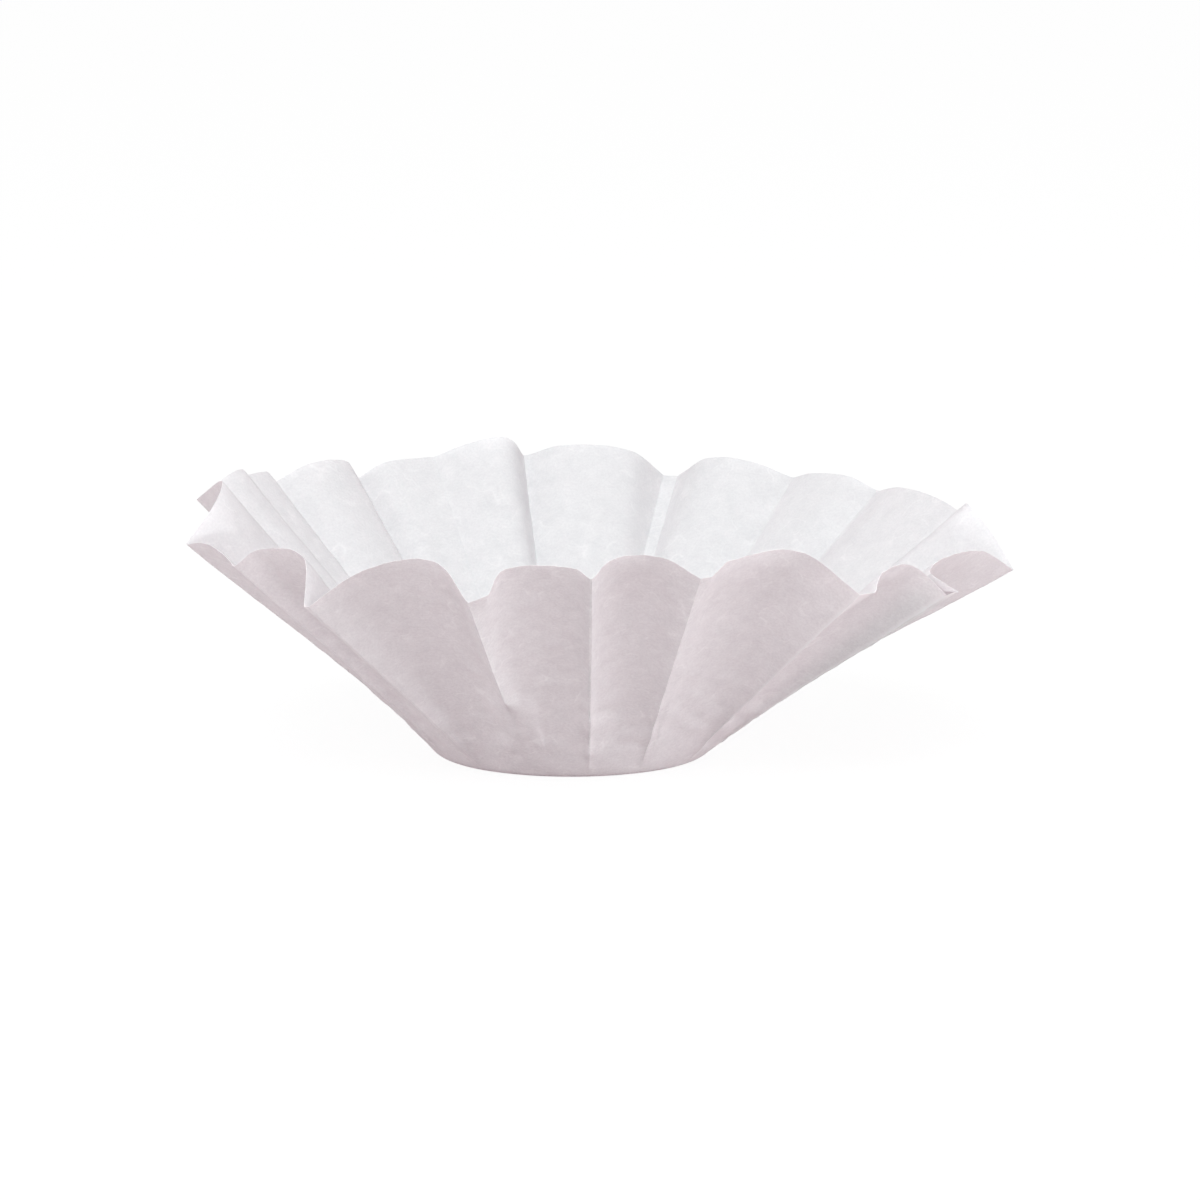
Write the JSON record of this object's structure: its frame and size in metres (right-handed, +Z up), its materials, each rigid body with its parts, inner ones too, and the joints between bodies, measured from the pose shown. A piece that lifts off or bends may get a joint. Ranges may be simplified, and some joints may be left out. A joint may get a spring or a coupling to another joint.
{
  "type": "paper coffee filter",
  "caption": "Basket-style paper coffee filter: a round sheet pressed into a flat-bottomed bowl with a pleated, flaring wall, standing open; lines a brew basket and holds ground coffee",
  "frame": {"origin": "middle of the flat base, on its underside", "axes": "+Z up through the open mouth, -Y towards the picture's viewer, +X to the viewer's right, where the wall leans out furthest"},
  "size_m": [0.1669, 0.1645, 0.0573],
  "materials": {
    "bleached_paper": "matt, faintly crinkled, lets light through"
  },
  "bodies": {
    "root": {"filter_paper": "bleached_paper"}
  },
  "joints": []
}
